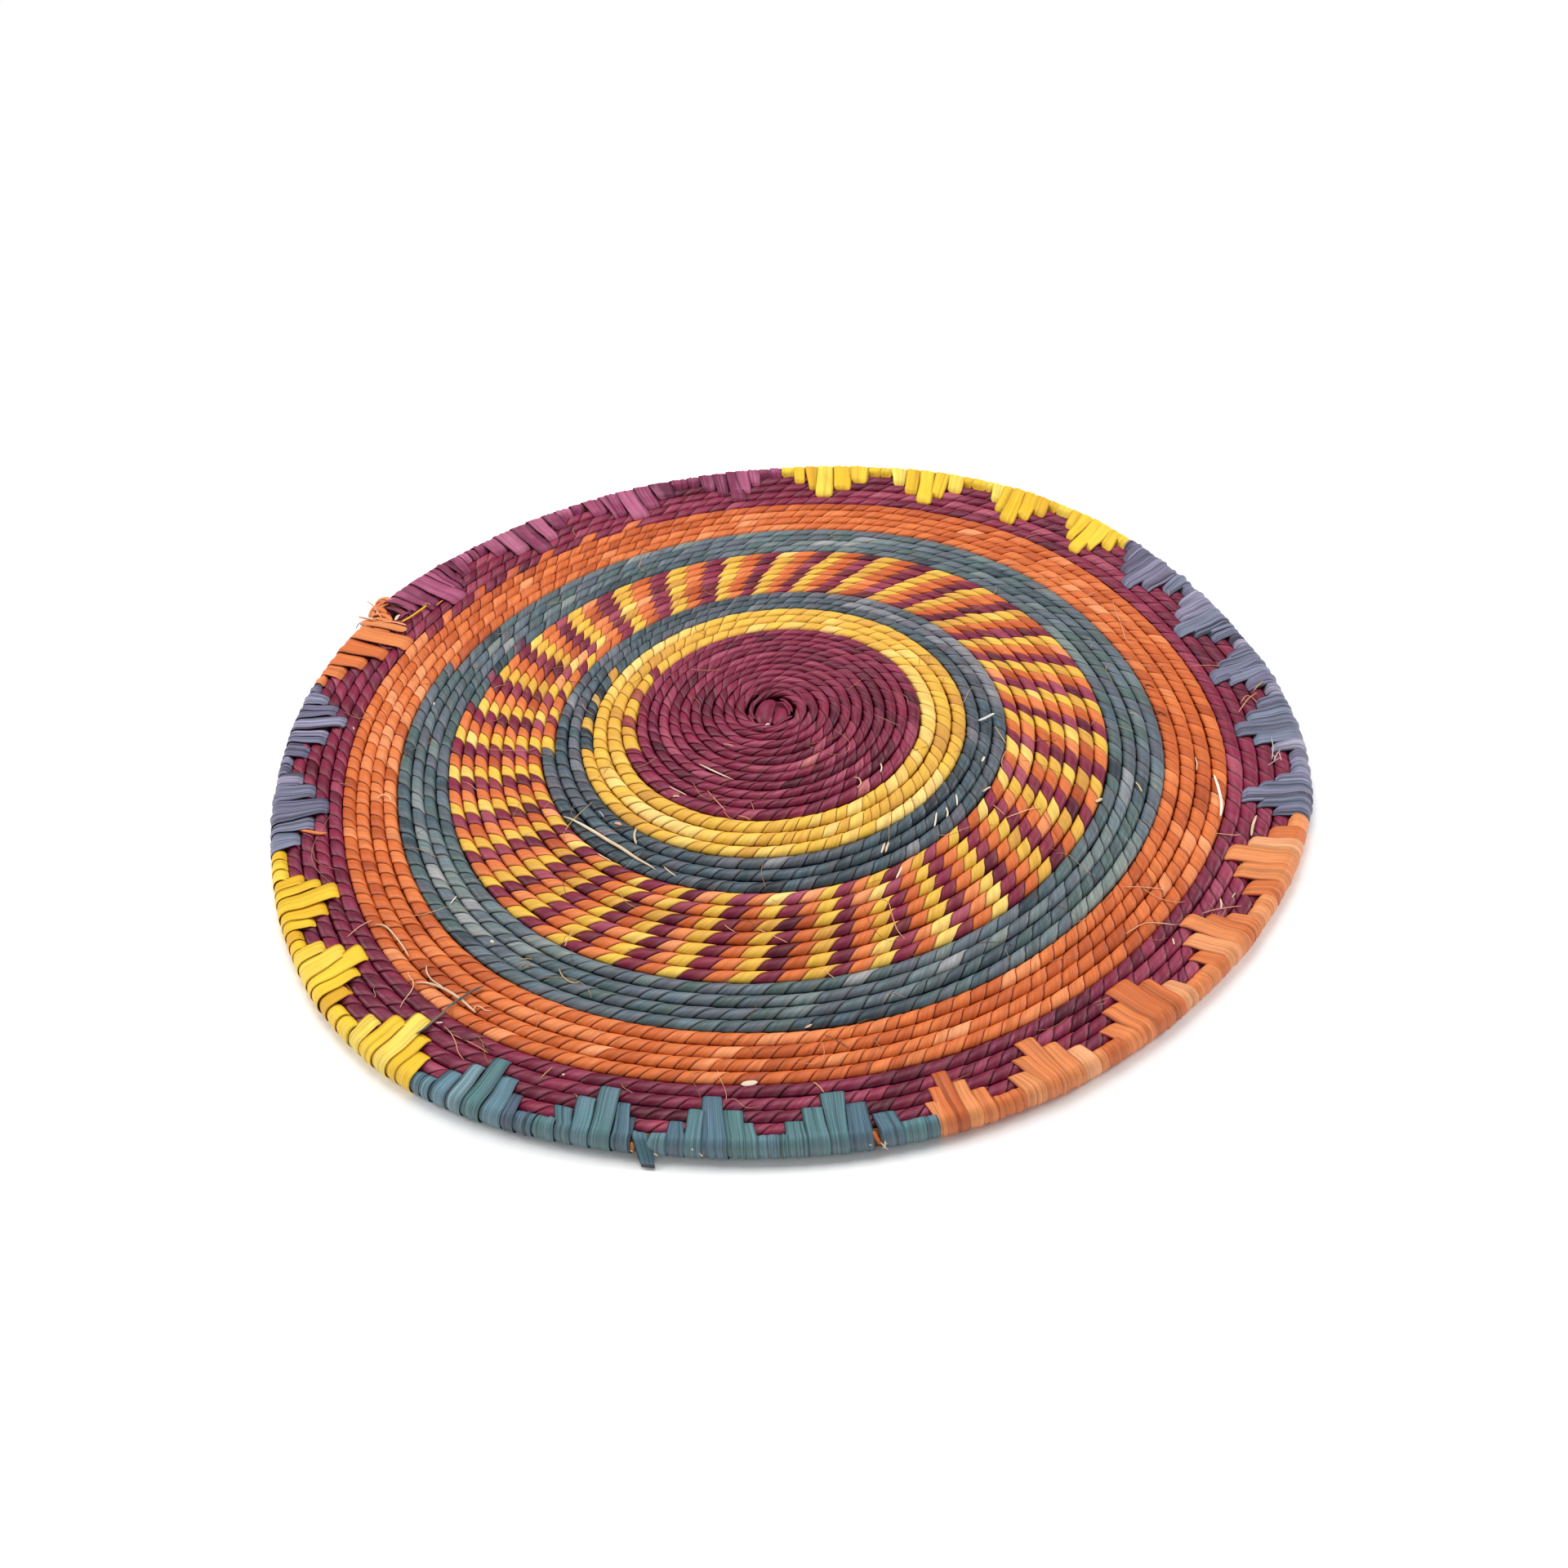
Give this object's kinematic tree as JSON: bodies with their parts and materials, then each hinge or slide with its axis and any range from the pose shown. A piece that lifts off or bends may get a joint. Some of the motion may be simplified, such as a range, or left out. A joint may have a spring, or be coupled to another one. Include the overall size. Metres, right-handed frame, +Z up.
{
  "type": "coiled wall plate",
  "caption": "Round coiled palm-leaf wall plate: a shallow dome of wrapped spiral coil in coloured bands, its rim bound with stepped flat leaf strips.",
  "frame": {"origin": "middle of the plate's box at its underside, on the surface that the rim lies on", "axes": "+Z up, square to the plate; -Y towards the viewer of the picture, +X to the right"},
  "size_m": [0.3762, 0.3732, 0.0285],
  "materials": {
    "plum_leaf": "palm leaf dyed plum, wrapped, satin",
    "yellow_leaf": "palm leaf dyed yellow, wrapped, satin",
    "blue_leaf": "palm leaf dyed grey-blue, wrapped, satin",
    "checker_leaf": "palm leaf in orange, yellow and plum by turns, wrapped, satin",
    "orange_leaf": "palm leaf dyed orange, wrapped, satin",
    "fibre_bundle": "undyed grass and palm fibre, bundled, matt",
    "rim_yellow_leaf": "flat palm leaf strip dyed yellow, satin",
    "rim_plum_leaf": "flat palm leaf strip dyed plum, satin",
    "rim_orange_leaf": "flat palm leaf strip dyed orange, satin",
    "rim_violet_leaf": "flat palm leaf strip dyed violet-blue, satin",
    "rim_teal_leaf": "flat palm leaf strip dyed teal, satin"
  },
  "bodies": {
    "root": {"start_knot": "plum_leaf", "centre_plum_coil": "plum_leaf", "yellow_coil": "yellow_leaf", "inner_blue_coil": "blue_leaf", "checker_coil": "checker_leaf", "outer_blue_coil": "blue_leaf", "orange_coil": "orange_leaf", "plum_border_coil": "plum_leaf", "rim_coil": "fibre_bundle", "coil_end_binding": "rim_orange_leaf", "yellow_top_strips_1": "rim_yellow_leaf", "yellow_top_strips_2": "rim_yellow_leaf", "yellow_top_strips_3": "rim_yellow_leaf", "yellow_top_strips_4": "rim_yellow_leaf", "plum_top_strips_1": "rim_plum_leaf", "plum_top_strips_2": "rim_plum_leaf", "plum_top_strips_3": "rim_plum_leaf", "plum_top_strips_4": "rim_plum_leaf", "orange_left_strips_1": "rim_orange_leaf", "violet_left_strips_1": "rim_violet_leaf", "violet_left_strips_2": "rim_violet_leaf", "yellow_left_strips_1": "rim_yellow_leaf", "yellow_left_strips_2": "rim_yellow_leaf", "yellow_left_strips_3": "rim_yellow_leaf", "teal_front_strips_1": "rim_teal_leaf", "teal_front_strips_2": "rim_teal_leaf", "teal_front_strips_3": "rim_teal_leaf", "teal_front_strips_4": "rim_teal_leaf", "orange_right_strips_1": "rim_orange_leaf", "orange_right_strips_2": "rim_orange_leaf", "orange_right_strips_3": "rim_orange_leaf", "orange_right_strips_4": "rim_orange_leaf", "orange_right_strips_5": "rim_orange_leaf", "violet_right_strips_1": "rim_violet_leaf", "violet_right_strips_2": "rim_violet_leaf", "violet_right_strips_3": "rim_violet_leaf", "violet_right_strips_4": "rim_violet_leaf", "violet_right_strips_5": "rim_violet_leaf", "loose_strip_end": "rim_teal_leaf"}
  },
  "joints": []
}
